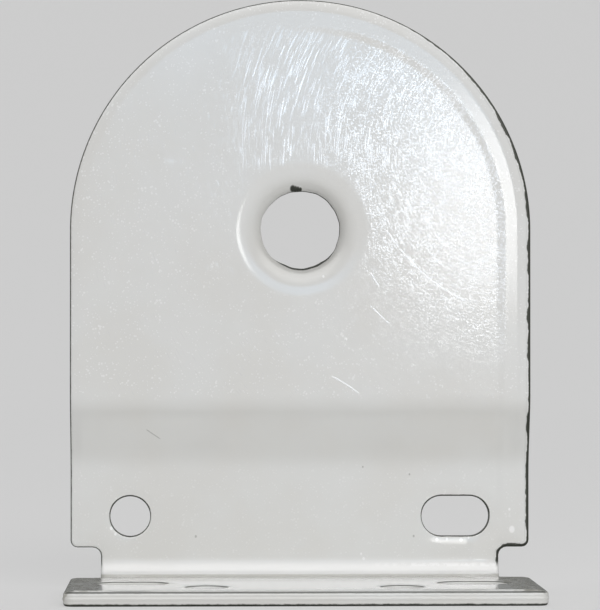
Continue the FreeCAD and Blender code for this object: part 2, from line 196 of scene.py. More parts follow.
# Closed lines in the blank. The metal is always on the left of the way they run.
def rounded_line(corners, pitch=EDGE_PITCH):
    """Points round a closed line with rounded corners, and the directions away from the metal."""
    places = [np.array(corner[:2], dtype=float) for corner in corners]
    points, outward = [], []
    for index, (_, _, radius) in enumerate(corners):
        place = places[index]
        arriving = place - places[index - 1]
        leaving = places[(index + 1) % len(places)] - place
        arriving /= np.linalg.norm(arriving)
        leaving /= np.linalg.norm(leaving)
        turn = math.atan2(arriving[0] * leaving[1] - arriving[1] * leaving[0], arriving @ leaving)
        side = math.copysign(1.0, turn)
        start = place - arriving * radius * math.tan(abs(turn) / 2)
        centre = start + np.array([-arriving[1], arriving[0]]) * radius * side
        spoke = start - centre
        first = math.atan2(spoke[1], spoke[0])
        steps = max(4, math.ceil(radius * abs(turn) / pitch))
        if points:
            add_straight(points, outward, start, arriving, pitch)
        for step in range(steps + 1):
            angle = first + turn * step / steps
            ray = np.array([math.cos(angle), math.sin(angle)])
            if points and np.linalg.norm(centre + ray * radius - points[-1]) < pitch / 100:
                continue
            points.append(centre + ray * radius)
            outward.append(ray * side)
    closing = places[0] - places[-1]
    add_straight(points, outward, points[0], closing / np.linalg.norm(closing), pitch)
    if np.linalg.norm(points[-1] - points[0]) < pitch / 100:
        points.pop()
        outward.pop()
    return np.array(points), np.array(outward)


def add_straight(points, outward, end, heading, pitch):
    """Points between the last one and the end of a straight run, both left out."""
    start = points[-1]
    length = np.linalg.norm(end - start)
    steps = math.ceil(length / pitch)
    away = np.array([heading[1], -heading[0]])
    for step in range(1, steps):
        points.append(start + (end - start) * step / steps)
        outward.append(away)


def sheet_outline():
    """The blank's outer line, from the flange's front left corner."""
    half = PLATE_WIDTH / 2
    neck = half - NOTCH_REACH
    notch_foot = FOLD[0]
    notch_top = LOWER_PLATE[0] + NOTCH_RISE
    top = along_plate(UPPER_PLATE, half)
    right = [
        (half, 0.0, FLANGE_CORNER),
        (half, notch_foot, EAR_CORNER),
        (neck, notch_foot, NOTCH_CORNER),
        (neck, notch_top, NOTCH_CORNER),
        (half, notch_top, PLATE_CORNER),
        (half, top, half),
    ]
    left = [(-across, along, radius) for across, along, radius in reversed(right)]
    return rounded_line(right + left)


def screw_hole(across, along, length):
    """A hole's line in the blank; a length above its width makes a slot."""
    radius = MOUNTS["plate_round_hole"]["dims"]["r_mm"]
    reach = length / 2
    corners = [(-reach, -radius), (-reach, radius), (reach, radius), (reach, -radius)]
    return rounded_line([(across + x, along + y, radius) for x, y in corners])


def screw_holes():
    """The six holes and slots of the sheet, at the places of the part's mounts."""
    width = 2 * MOUNTS["plate_round_hole"]["dims"]["r_mm"]
    slots, rounds = MOUNTS["flange_slots"], MOUNTS["flange_round_holes"]
    slot_length = slots["dims"]["slot_length_mm"]
    lines = []
    for mount, length in ((MOUNTS["plate_round_hole"], width), (MOUNTS["plate_slot"], slot_length)):
        x, _, z = (value / MM for value in mount["pos_m"])
        lines.append(screw_hole(x, along_plate(LOWER_PLATE, z), length))
    for mount, length in ((rounds, width), (slots, slot_length)):
        along = FLANGE_DEPTH + mount["pos_m"][1] / MM
        for side in (-1, 1):
            lines.append(screw_hole(side * mount["dims"]["spacing_x_mm"] / 2, along, length))
    return lines


def hub_line():
    """A circle round the hub, where the drawn mouth's own rings begin."""
    centre = along_plate(UPPER_PLATE, 0.0)
    radius = HUB_SURROUND
    corners = [(-radius, -radius), (-radius, radius), (radius, radius), (radius, -radius)]
    return rounded_line([(x, centre + y, radius) for x, y in corners])


def nearest(points, line, batch=1500):
    """Distance from each point to a closed line, and the direction away from it."""
    sides = np.roll(line, -1, axis=0) - line
    squares = (sides ** 2).sum(axis=1)
    gaps, aways = [], []
    for first in range(0, len(points), batch):
        gap = points[first:first + batch, None, :] - line[None]
        share = np.clip((gap * sides).sum(axis=2) / squares, 0.0, 1.0)
        away = gap - share[..., None] * sides
        best = (away ** 2).sum(axis=2).argmin(axis=1)
        away = away[np.arange(len(best)), best]
        length = np.linalg.norm(away, axis=1)
        gaps.append(length)
        aways.append(away / np.maximum(length, 1e-9)[:, None])
    return np.concatenate(gaps), np.concatenate(aways)


def on_metal(points, line):
    """Whether points are on the metal's side of a closed line, by the line's winding round them."""
    spokes = line[None] - points[:, None]
    after = np.roll(spokes, -1, axis=1)
    cross = spokes[..., 0] * after[..., 1] - spokes[..., 1] * after[..., 0]
    turns = np.arctan2(cross, (spokes * after).sum(axis=2)).sum(axis=1) / (2 * math.pi)
    following = np.roll(line, -1, axis=0)
    area = (line[:, 0] * following[:, 1] - following[:, 0] * line[:, 1]).sum()
    return (np.abs(turns) > 0.5) == (area > 0)


# The enamel's own relief on the front face
def edge_swell(gap):
    """Height of the thick enamel at a distance inside the outline."""
    return BEAD_HEIGHT * smooth(gap, BEAD_END, BEAD_CREST[1]) * smooth(gap, EDGE_RADIUS, BEAD_CREST[0])


def edge_droop(gap):
    """Height of the face near the outline, where blanking drew it down."""
    return -EDGE_DROOP / 2 * np.clip(BEAD_CREST[0] - gap, 0.0, None) ** 2


def hole_roll(gap):
    """How far the face dips towards a punched hole, at a distance outside it."""
    share = np.clip(1 - gap / ROLL_WIDTH, 0.0, 1.0)
    return ROLL_DEPTH * share ** 2


def slope_of(shape, gap, nudge=0.01):
    return (shape(gap + nudge) - shape(gap - nudge)) / (2 * nudge)


# What each point tells the enamel: distances inside the outline and outside a hole's rim, measured
# over the rounded edge, and how far it belongs to the front face and to bare metal
MARKS = ("edge_gap", "rim_gap", "front", "bare")


class Skin:
    """The points, normals, marks and faces of the sheet as they are gathered, in the blank."""

    def __init__(self):
        self.points, self.normals, self.marks, self.faces = [], [], [], []
        self.count = 0

    def add(self, points, normals, marks):
        """Add points and hand back their numbers. The marks are those of MARKS."""
        self.points.append(points)
        self.normals.append(normals)
        self.marks.append(marks)
        first = self.count
        self.count += len(points)
        return np.arange(first, self.count)

    def band(self, rings):
        """Faces between rings of equally many points, from the front one to the back one."""
        for upper, lower in zip(rings, rings[1:]):
            after_upper, after_lower = np.roll(upper, -1), np.roll(lower, -1)
            self.faces.extend(np.stack([upper, lower, after_lower, after_upper], axis=1).tolist())


def swept_band(skin, line, outward, profile, first, last, waver=None):
    """Sweep a profile along a closed line, between two rings that the faces already have.

    A profile's items are outward offset, depth, normal outward, normal to the front, and marks.
    A waver adds to the offset, one value for each item and point."""
    rings = [first]
    for index, (offset, depth, n_out, n_front, marks) in enumerate(profile):
        extra = 0.0 if waver is None else waver[index][:, None]
        place = line + outward * (offset + extra)
        points = np.column_stack([place, np.full(len(line), depth)])
        normals = np.column_stack([outward * n_out, np.full(len(line), n_front)])
        rings.append(skin.add(points, normals, np.tile(marks, (len(line), 1))))
    rings.append(last)
    skin.band(rings)


def shear(depth):
    """How far the shear ridge stands out at a depth in the sheet, from 0 to 1."""
    up = np.clip((depth - SHEAR_FLANK[0]) / (SHEAR_FLANK[1] - SHEAR_FLANK[0]), 0.0, 1.0)
    return up * (1 - smooth(depth, SHEAR_FLANK[1], SHEAR_FOOT))


def wall_depths(start, end, steps=WALL_STEPS):
    """Depths in the sheet at which a blanked wall gets a ring of points."""
    return [start + (end - start) * (step + 0.5) / steps for step in range(steps)]


def edge_profile(radius, top, hole, steps=EDGE_STEPS):
    """A blanked edge from front to back: rounded corner, wall with its shear ridge, corner."""
    ridge = 0.0 if hole else SHEAR_RIDGE
    profile = []

    def add(offset, depth, n_out, n_front, gap, front):
        gaps = (FAR, gap) if hole else (gap, FAR)
        profile.append((offset, depth, n_out, n_front, (*gaps, front, 0.0)))

    for step in range(1, steps + 1):
        angle = math.pi / 2 * step / steps
        rise, reach = math.cos(angle), math.sin(angle)
        setback = ridge * step / steps
        offset = -radius * (1 - reach) - setback
        add(offset, top + radius * (1 - rise), reach, rise, radius * (1 - angle), 1.0)
    start = radius * (1 - math.pi / 2)
    wall = SHEET - top - 2 * radius
    for depth in wall_depths(top + radius, SHEET - radius):
        rise, lean = float(shear(depth)), float(slope_of(shear, depth))
        add(ridge * (rise - 1), depth, 1.0, ridge * lean, start - (depth - top - radius), 0.5)
    for step in range(steps):
        angle = math.pi / 2 * step / steps
        rise, reach = math.sin(angle), math.cos(angle)
        setback = ridge * (1 - step / steps)
        gap = start - wall - radius * angle
        add(-radius * (1 - reach) - setback, SHEET - radius * (1 - rise), reach, -rise, gap, 0.0)
    return profile


def dish_tilt(radius):
    share = np.clip((DISH_RADIUS - radius) / (DISH_RADIUS - BORE_RADIUS), 0.0, 1.0)
    inner, full, end, outer = SHOULDER_RADII
    shoulder = SHOULDER_TILT * smooth(radius, inner, full) * smooth(radius, outer, end)
    return np.radians(DISH_TILT * share ** DISH_SHARPNESS + shoulder)


def hub_profile():
    """The drawn mouth from the plate's front, down its bore, round the collar's end and out."""
    profile = []
    depth = 0.0
    dish = np.linspace(HUB_SURROUND, BORE_RADIUS + THROAT, DISH_RINGS)
    throat = np.linspace(BORE_RADIUS + THROAT, BORE_RADIUS, THROAT_RINGS)
    previous = HUB_SURROUND
    for radius in np.concatenate([dish[1:], throat[1:]]):
        middle = dish_tilt((previous + radius) / 2)
        depth += math.tan(middle) * (previous - radius)
        tilt = dish_tilt(radius)
        profile.append((HUB_SURROUND - radius, depth, math.sin(tilt), math.cos(tilt), (FAR, FAR, 1.0, 0.0)))
        previous = radius
    bore = HUB_SURROUND - BORE_RADIUS
    for share in BORE_SHARES:
        level = depth + (COLLAR_END - depth) * share
        bare = float(smooth(share, *BARE_FROM))
        profile.append((bore, level, 1.0, 0.0, (FAR, FAR, 0.5, bare)))
    for share in COLLAR_SHARES:
        profile.append((bore - COLLAR_WALL * share, COLLAR_END, 0.0, -1.0, (FAR, FAR, 0.0, 0.8)))
    root = SHEET + COLLAR_ROOT
    collar = bore - COLLAR_WALL
    profile.append((collar, COLLAR_END, -1.0, 0.0, (FAR, FAR, 0.0, 0.2)))
    for step in range(ROOT_STEPS + 1):
        angle = math.pi / 2 * step / ROOT_STEPS
        reach, rise = math.cos(angle), math.sin(angle)
        offset = collar - COLLAR_ROOT * (1 - reach)
        profile.append((offset, root - COLLAR_ROOT * rise, -reach, -rise, (FAR, FAR, 0.0, 0.0)))
    return profile


def hub_waver(profile, outward):
    """The bore is a little out of round, and narrows towards the bottom of the collar."""
    towards = np.arctan2(-outward[:, 1], -outward[:, 0])
    down = smooth(np.cos(towards + math.pi / 2 + BOTTOM_TURN), *BOTTOM_SPREAD)
    ripple = BORE_TIGHTNESS
    for count, turn, height in BORE_WAVES:
        ripple = ripple + height * np.cos(count * towards + turn)
    waver = []
    for offset, depth, n_out, n_front, _ in profile:
        inside = float(smooth(HUB_SURROUND - offset, BORE_RADIUS + BORE_BLEND, BORE_RADIUS))
        deep = float(smooth(depth, BOTTOM_DEPTH, COLLAR_END))
        if n_front < -0.5 or n_out < 0:
            waver.append(np.zeros(len(towards)))
            continue
        waver.append(inside * (ripple + BOTTOM_CLOSES * down * deep))
    return waver


def grid_rows():
    """Lengths along the sheet at which rows of points lie, closer in the bends."""
    rows = []
    for start, *_, curvature, length in PATH:
        pitch = GRID_PITCH
        if curvature:
            pitch = min(pitch, math.radians(BEND_TURN) / abs(curvature))
        steps = math.ceil(length / pitch)
        rows.extend(start + length * np.arange(steps) / steps)
    return np.array(rows)


def face_points(outline, outward, holes, hub):
    """Points inside the front face: rings along the outline and the holes, and a grid between."""
    rings = np.arange(EDGE_RADIUS + RING_PITCH * 0.8, BEAD_END + RING_PITCH, RING_PITCH)
    picked = []
    for depth in rings:
        ring = outline - outward * depth
        gap = nearest(ring, outline)[0]
        picked.append(ring[gap > depth - RING_PITCH / 8])
    columns = np.arange(-PLATE_WIDTH / 2, PLATE_WIDTH / 2, GRID_PITCH) + GRID_PITCH / 2
    grid = np.stack(np.meshgrid(columns, grid_rows()), axis=2).reshape(-1, 2)
    grid = grid[(grid[:, 1] > 0) & (grid[:, 1] < along_plate(UPPER_PLATE, PLATE_WIDTH / 2))]
    across, along = np.abs(grid[:, 0]), grid[:, 1] - along_plate(UPPER_PLATE, 0.0)
    grid = grid[(along < 0) | (np.hypot(across, along) < PLATE_WIDTH / 2)]
    gap = nearest(grid, outline)[0]
    notch = (np.abs(grid[:, 0]) > PLATE_WIDTH / 2 - NOTCH_REACH) & (grid[:, 1] > FOLD[0])
    notch &= grid[:, 1] < LOWER_PLATE[0] + NOTCH_RISE
    picked.append(grid[(gap > rings[-1] + GRID_PITCH / 3) & ~notch])
    points = np.concatenate(picked)
    for line, _ in holes:
        gap = nearest(points, line)[0]
        points = points[(gap > ROLL_WIDTH + RING_PITCH) & on_metal(points, line)]
    centre = hub.mean(axis=0)
    points = points[np.linalg.norm(points - centre, axis=1) > HUB_SURROUND + GRID_PITCH / 2]
    around = []
    for line, away in holes:
        for depth in np.arange(RIM_RADIUS + 0.2, ROLL_WIDTH + 0.1, ROLL_PITCH):
            around.append(line - away * depth)
    return np.concatenate([points] + around)


def triangulated(lines, inner):
    """Triangles over the metal, with the closed lines as their borders. The lines come first."""
    borders, edges, owner = [], [], []
    first = 0
    for number, line in enumerate(lines):
        count = len(line)
        borders.append(line)
        edges.extend((first + i, first + (i + 1) % count) for i in range(count))
        owner.extend([number] * count)
        first += count
    points = np.concatenate(borders + [inner])
    owner = np.array(owner + [-1] * len(inner))
    result = delaunay_2d_cdt([Vector(p) for p in points], edges, [], 0, 1e-7)
    order = np.array([ids[0] for ids in result[3]])
    triangles = order[np.array([tuple(face) for face in result[2]])]
    keep = np.ones(len(triangles), dtype=bool)
    for number, line in enumerate(lines):
        between = np.flatnonzero((owner[triangles] == number).all(axis=1))
        keep[between] = on_metal(points[triangles[between]].mean(axis=1), line)
    return points, triangles[keep]


def sheet_skin():
    """The whole sheet in its blank: both faces, the blanked edges, the rims and the hub."""
    outline, outward = sheet_outline()
    holes = screw_holes()
    hub, hub_away = hub_line()
    lines = [outline - outward * EDGE_RADIUS]
    lines += [line - away * RIM_RADIUS for line, away in holes]
    lines.append(hub)
    inner = face_points(outline, outward, holes, hub)
    points, triangles = triangulated(lines, inner)

    gap, away = nearest(points, outline)
    thick = smooth(points[:, 0], *BEAD_GROWS)
    height = edge_droop(gap) + thick * edge_swell(gap)
    slope = away * (slope_of(edge_droop, gap) + thick * slope_of(edge_swell, gap))[:, None]
    for line, _ in holes:
        hole_gap, hole_away = nearest(points, line)
        height = height - hole_roll(hole_gap)
        slope = slope - hole_away * slope_of(hole_roll, hole_gap)[:, None]
    skin = Skin()
    none = np.zeros(len(points))
    front = skin.add(np.column_stack([points, -height]), np.column_stack([-slope, none + 1]),
                     np.column_stack([gap, none + FAR, none + 1, none]))
    back = skin.add(np.column_stack([points, none + SHEET]), np.column_stack([none, none, none - 1]),
                    np.column_stack([none + FAR, none + FAR, none, none]))
    skin.faces.extend(front[triangles].tolist())
    skin.faces.extend(back[triangles[:, ::-1]].tolist())

    first = 0
    for number, (line, away) in enumerate([(outline, outward)] + holes + [(hub, hub_away)]):
        ring = np.arange(first, first + len(line))
        first += len(line)
        waver = None
        if number == 0:
            profile = edge_profile(EDGE_RADIUS, -float(edge_droop(EDGE_RADIUS)), hole=False)
        elif number <= len(holes):
            profile = edge_profile(RIM_RADIUS, float(hole_roll(RIM_RADIUS)), hole=True)
        else:
            profile = hub_profile()
            waver = hub_waver(profile, away)
        swept_band(skin, line, away, profile, front[ring], back[ring], waver)
    return skin


def bracket_mesh():
    """Fold the blank and make it a mesh, with the marks that the enamel reads."""
    skin = sheet_skin()
    places, normals = folded(np.concatenate(skin.points), np.concatenate(skin.normals))
    mesh = bpy.data.meshes.new("enamelled_sheet")
    mesh.from_pydata((places * MM).tolist(), [], skin.faces)
    marks = np.concatenate(skin.marks)
    for column, name in enumerate(MARKS):
        layer = mesh.attributes.new(name, "FLOAT", "POINT")
        layer.data.foreach_set("value", marks[:, column].astype(np.float32))
    for polygon in mesh.polygons:
        polygon.use_smooth = True
    mesh.normals_split_custom_set_from_vertices(normals.tolist())
    mesh.validate()
    return mesh


# Shader sums
class Socket:
    """An output of a shader node that can stand in a sum."""

    def __init__(self, graph, port):
        self.graph = graph
        self.port = port

    def joined(self, operation, first, second):
        return self.graph.node("Math", {"operation": operation}, {0: first, 1: second})

    def __add__(self, other):
        return self.joined("ADD", self, other)

    def __radd__(self, other):
        return self.joined("ADD", other, self)

    def __sub__(self, other):
        return self.joined("SUBTRACT", self, other)

    def __rsub__(self, other):
        return self.joined("SUBTRACT", other, self)

    def __mul__(self, other):
        return self.joined("MULTIPLY", self, other)

    def __rmul__(self, other):
        return self.joined("MULTIPLY", other, self)

    def __truediv__(self, other):
        return self.joined("DIVIDE", self, other)

    def __pow__(self, other):
        return self.joined("POWER", self, other)

    def larger(self, other):
        return self.joined("MAXIMUM", self, other)

    def step(self, low, high):
        """0 up to low and 1 from high on, or the other way round where low is above high."""
        settings = {"interpolation_type": "SMOOTHSTEP"}
        return self.graph.node("MapRange", settings, {0: self, 1: low, 2: high, 3: 0.0, 4: 1.0})


class Graph:
    """A node tree that is written as sums of its sockets."""

    def __init__(self, tree):
        self.tree = tree

    def node(self, kind, settings, inputs, output=0):
        made = self.tree.nodes.new("ShaderNode" + kind)
        for name, setting in settings.items():
            setattr(made, name, setting)
        for key, value in inputs.items():
            entry = made.inputs[key]
            if isinstance(value, Socket):
                self.tree.links.new(value.port, entry)
            else:
                entry.default_value = value
        return Socket(self, made.outputs[output])

    def mix(self, mask, first, second):
        """A colour between two, by a mask."""
        return self.node("Mix", {"data_type": "RGBA"}, {0: mask, 6: first, 7: second}, 2)

    def vector(self, operation, first, second, output=0):
        return self.node("VectorMath", {"operation": operation}, {0: first, 1: second}, output)

    def noise(self, place, scale, detail=2.0, roughness=0.5):
        values = {"Vector": place, "Scale": scale, "Detail": detail, "Roughness": roughness}
        return self.node("TexNoise", {}, values)

    def parts(self, vector):
        """The three numbers of a vector."""
        return [self.node("SeparateXYZ", {}, {0: vector}, axis) for axis in range(3)]

    def mark(self, name):
        return self.node("Attribute", {"attribute_name": name}, {}, 2)


def colour(red, green, blue):
    return (red, green, blue, 1.0)


# The white enamel
ENAMEL = colour(0.818, 0.823, 0.813)
ENAMEL_WARM = colour(0.80, 0.797, 0.777)
# White of scuffs in the coat, also used for painted highlights and glints
ENAMEL_SCUFF_AND_HIGHLIGHT = colour(0.99, 0.99, 0.99)
SHADE_AND_BLOTCH_TONE = colour(0.42, 0.40, 0.345)
EDGE_SHADE_AND_GRIME = colour(0.045, 0.048, 0.038)
BARE_STEEL = colour(0.23, 0.235, 0.21)
SPECK_GREY = colour(0.42, 0.42, 0.40)

GLOSS_ROUGHNESS = 0.06
ENAMEL_IOR = 1.5
ORANGE_PEEL = 0.0010
SLOW_WARP = 0.008
FINE_MOTTLE = 0.0006

# Heights and depths that the enamel's marks are placed by
FLANGE_FACE = SHEET - HUB_HEIGHT
FOLD_TOP = FLANGE_FACE + FOLD_RADIUS
FLANGE_FRONT = -FLANGE_DEPTH
SLOT_HEIGHT = MOUNTS["plate_slot"]["pos_m"][2] / MM

# Soft borders: a mask is 0 up to the first value and 1 from the second on. The dish and the ears
# are found by squared distances.
STEP_TOP = (-19.4, -21.8)
STEP_FOOT = (-29.0, -26.4)
UPPER_PLATE_FOOT = (-20.6, -19.4)
LOWER_PLATE_TOP = (-27.0, -29.0)
ABOVE_FOLD = (FOLD_TOP - 0.4, FOLD_TOP + 0.4)
BELOW_FOLD = (FOLD_TOP - 0.1, FOLD_TOP - 1.1)
# The fold's painted highlight: the band between these heights is whitened
FOLD_HIGHLIGHT_TOP = (FOLD_TOP + 0.5, FOLD_TOP - 0.5)
FOLD_HIGHLIGHT_FOOT = (FLANGE_FACE + 0.15, FLANGE_FACE + 0.35)
ON_FLANGE = (FLANGE_FACE + 0.32, FLANGE_FACE + 0.1)
FRONT_EDGE = (FLANGE_FRONT + 1.0, FLANGE_FRONT + 0.6)
BEHIND_FRONT_EDGE = (FLANGE_FRONT + 0.1, FLANGE_FRONT + 0.5)
CORNER_SHADE = (-13.0, -2.0)
EAR_START = PLATE_WIDTH / 2 - 4.0
EAR_FADE = 8.0
EAR_SQUARES = (EAR_START ** 2 - EAR_FADE, EAR_START ** 2 + EAR_FADE)
DISH_SQUARES = (50.0, 26.0)
HUB_CLEAR = (7.6, 8.6)
TO_RIGHT = (6.0, 26.0)
GLINT_HEIGHT = FLANGE_FACE + 1.3
GLINT_STARTS = (5.0, 16.0)

# Soft borders by the distance inside the outline or outside a hole's rim
BEAD_CLEAR = (2.7, 3.2)
OUTLINE_WALL = (-0.7, -0.3)
HAIRLINE_INSIDE = (0.66, 0.58)
HAIRLINE_OUTSIDE = (0.44, 0.52)
FLANGE_LINE_INSIDE = (0.6, 0.45)
FLANGE_LINE_OUTSIDE = (0.0, 0.14)
FLANGE_FOOT_LINE = (-1.25, -1.45)
RIM_WALL = (-0.75, -0.45)
FLANGE_RIM_OUTSIDE = (0.34, 0.22)
FLANGE_RIM_INSIDE = (-0.05, 0.08)

# The plate's rims get more painted shade over the slot, between these heights
OVER_SLOT_FOOT = (SLOT_HEIGHT - 0.4, SLOT_HEIGHT + 1.6)
OVER_SLOT_TOP = (SLOT_HEIGHT + 4.2, SLOT_HEIGHT + 3.2)

# Noise over the face: scale in each millimetre, detail and roughness
WARM_TONE = (0.09, 3.0, 0.5)
BLOTCH_NOISE = (0.9, 4.0, 0.7)
FLECK_CLUMPS = (0.9, 3.0, 0.6)
GRAIN = (4.2, 1.0, 0.5)
RAGGED_EDGE = (1.3, 4.0, 0.65)
EDGE_WEDGES = (0.35, 2.0, 0.5)

# The upper plate's strokes and flecks are partly real scratches and partly painted glints, whitened in
# arcs round a point at the right edge near the lamp's reflection. The strokes are a width, a length,
# the two levels of noise between which they show, and a seed.
SWIRL_CENTRE = (27.3, 8.9)
SWIRL_REACH = 20.0
SWIRL_FADE = (33.0, 8.0)
GLINT_SIDE = (-5.0, 8.0)
GLINT_SLANT = 0.3
STROKES_LEFT = (-9.5, -5.0)
STROKES_FOOT = (6.0, 9.0)
STROKES_TOP = (25.5, 21.0)
LONG_STROKES = (0.13, 2.4, 0.64, 0.69, 1.7)
FINE_STROKES = (0.11, 1.3, 0.64, 0.70, 8.3)
FAINT_STROKES = (0.13, 0.7, 0.68, 0.76, 4.1)
SPECK_PITCH = 0.48

# Where the coat is marked, as x and z on the front face: scratches with their width and bow
LONG_SCRATCHES = [
    ((10.4, -0.2), (20.2, -8.7), 0.10, 0.95),
    ((15.3, 0.9), (17.3, -1.9), 0.08, 0.12),
    ((8.2, -8.9), (10.7, -11.3), 0.09, 0.0),
    ((3.5, -17.3), (7.1, -19.6), 0.09, -0.15),
    ((8.3, -4.9), (9.5, -6.9), 0.09, 0.05),
    ((12.7, -2.9), (14.0, -4.6), 0.09, 0.05),
    ((15.2, -2.4), (17.2, -4.4), 0.09, 0.1),
]
GREY_NICK = ((-18.5, -23.7), (-16.6, -25.0), 0.08, 0.0)

# Spots as x, z and radius
LIP_CHIP = [(-0.95, 4.98, 0.40), (-0.65, 4.92, 0.36), (-0.35, 4.89, 0.32), (-0.05, 4.86, 0.26)]
DARK_SPECKS = [(-12.5, -36.6, 0.16), (7.5, -28.3, 0.12), (13.1, -29.2, 0.13), (13.6, -36.6, 0.15)]
# Most white spots are painted glints, at the lower plate's right edge, along the slot's lower rim and at
# the round hole's lower left; the rest are white chips and flecks in the coat
GLINT_AND_CHIP_SPOTS = [
    (25.4, -35.8, 0.42),
    (25.1, -33.4, 0.17),
    (2.7, -5.5, 0.17),
    (16.4, -37.0, 0.22),
    (17.6, -36.95, 0.18),
    (19.3, -37.05, 0.25),
    (20.2, -36.8, 0.15),
    (-22.6, -35.6, 0.22),
    (-22.1, -36.3, 0.18),
    (7.6, -39.3, 0.2),
    (7.3, -38.7, 0.14),
]
SPOT_SQUASH = 0.8


class Surface:
    """What the enamel knows of a point: its place in millimetres and the mesh's marks."""

    def __init__(self, graph):
        self.graph = graph
        self.place = graph.vector("MULTIPLY", graph.node("TexCoord", {}, {}, 3), (1 / MM, 1 / MM, 1 / MM))
        self.across, self.depth, self.height = graph.parts(self.place)
        self.edge_gap, self.rim_gap, self.front, self.bare = (graph.mark(name) for name in MARKS)
        self.axis_square = self.across * self.across + self.height * self.height
        self.below_fold = self.height.step(*BELOW_FOLD)
        self.to_right = self.across.step(*TO_RIGHT)

    def noise(self, scale, detail, roughness=0.5):
        return self.graph.noise(self.place, scale, detail, roughness)

    def scratch(self, start, end, width, bow):
        """1 along a slightly bowed line between two points of the face, else 0."""
        run = Vector(end) - Vector(start)
        length = run.length
        heading = run / length
        x, z = self.across - start[0], self.height - start[1]
        along = x * heading.x + z * heading.y
        aside = x * heading.y - z * heading.x
        aside = aside - along * (length - along) * (4 * bow / length ** 2)
        ends = along.step(0.0, width * 4) * along.step(length, length - width * 6)
        return (aside * aside).step(width * width, width * width / 8) * ends

    def spot(self, x, z, radius):
        """1 at a point of the face, fading to 0 at a radius."""
        aside, above = self.across - x, (self.height - z) * SPOT_SQUASH
        return (aside * aside + above * above).step(radius * radius, radius * radius / 4)


def any_of(masks):
    total = masks[0]
    for mask in masks[1:]:
        total = total.larger(mask)
    return total


def glint_strokes(graph, radius, turn, width, length, low, high, seed):
    """Short fine strokes along circles round the swirl's centre, as stretched noise; whitened, they are
    painted glints.
    """
    place = graph.node("CombineXYZ", {}, {0: radius / width, 1: turn * (SWIRL_REACH / length), 2: seed})
    return graph.noise(place, 1.0, 0.0).step(low, high)


def dots(graph, place, pitch, size):
    """Round specks, one in a cell; size is a share of the pitch and may vary over the face."""
    values = {"Vector": place, "Scale": 1 / pitch}
    from_centre = graph.node("TexVoronoi", {"voronoi_dimensions": "2D"}, values)
    return (size - from_centre).step(0.0, 0.07)


def wear(at):
    """The plate's strokes and flecks, part scratch and part painted glint, specks, and how near the swirl a
    place is.
    """
    graph = at.graph
    aside, above = at.across - SWIRL_CENTRE[0], at.height - SWIRL_CENTRE[1]
    radius = (aside * aside + above * above) ** 0.5
    turn = graph.node("Math", {"operation": "ARCTAN2"}, {0: above, 1: -1 * aside})
    off_hub = (at.axis_square ** 0.5).step(*HUB_CLEAR)
    upper_plate = at.height.step(*UPPER_PLATE_FOOT)
    flat = off_hub * upper_plate * at.edge_gap.step(*BEAD_CLEAR)
    near = radius.step(*SWIRL_FADE) * (at.across + at.height * GLINT_SLANT).step(*GLINT_SIDE)
    above_hub = at.across.step(*STROKES_LEFT) * at.height.step(*STROKES_FOOT) * at.height.step(*STROKES_TOP)

    patchy = at.noise(0.22, 2.0)
    long = glint_strokes(graph, radius, turn, *LONG_STROKES) * above_hub.larger(near * 0.5)
    fine = glint_strokes(graph, radius, turn, *FINE_STROKES) * near.larger(above_hub * 0.5)
    faint = glint_strokes(graph, radius, turn, *FAINT_STROKES) * patchy.step(0.45, 0.6)
    strokes = any_of([long * patchy.step(0.38, 0.5), fine, faint * 0.5])

    on_face = graph.node("CombineXYZ", {}, {0: at.across, 1: at.height, 2: 0.0})
    clumps = at.noise(*FLECK_CLUMPS)
    grain = graph.noise(on_face, *GRAIN) + clumps * 0.4 + near * 0.06
    # Flecks whiten only near the swirl: grain in the coat and painted glints
    flecks = grain.step(0.80, 0.845) * near.step(0.0, 0.5)

    lower_plate = at.height.step(*LOWER_PLATE_TOP)
    specks = dots(graph, on_face, SPECK_PITCH, clumps * 1.2 - 0.49) * off_hub
    specks = specks * upper_plate.larger(lower_plate * 0.5) * at.height.step(*ABOVE_FOLD)
    return strokes * flat, flecks * flat, specks * 0.6, near * flat


def painted_shade_and_blotches(at):
    """Painted shade on the step, in the dish, in the flange's corner by the fold and on its front arris;
    blotches on the ears.
    """
    on_step = at.height.step(*STEP_TOP) * at.height.step(*STEP_FOOT)
    on_flange = at.height.step(*ON_FLANGE) * at.depth.step(*BEHIND_FRONT_EDGE)
    in_corner = on_flange * at.depth.step(*CORNER_SHADE)
    on_ears = (at.across * at.across).step(*EAR_SQUARES)
    blotches = at.noise(*BLOTCH_NOISE).step(0.40, 0.60)
    on_ears = on_flange * on_ears * (blotches * 0.65 + 0.05)
    in_dish = at.axis_square.step(*DISH_SQUARES)
    on_edge = at.edge_gap.step(0.0, -0.2) * at.height.step(FLANGE_FACE + 0.3, FLANGE_FACE)
    on_edge = on_edge * at.depth.step(*FRONT_EDGE)
    return any_of([on_step * 0.14, in_corner * 0.5, in_dish * 0.22, on_ears, on_edge * 0.2])


def fold_glint(at):
    """A painted glint: a broken bright line along the right half of the fold."""
    line = GLINT_HEIGHT
    glint = at.height.step(line - 0.3, line - 0.1) * at.height.step(line + 0.3, line + 0.1)
    return glint * at.across.step(*GLINT_STARTS) * at.noise(*BLOTCH_NOISE).step(0.45, 0.52)


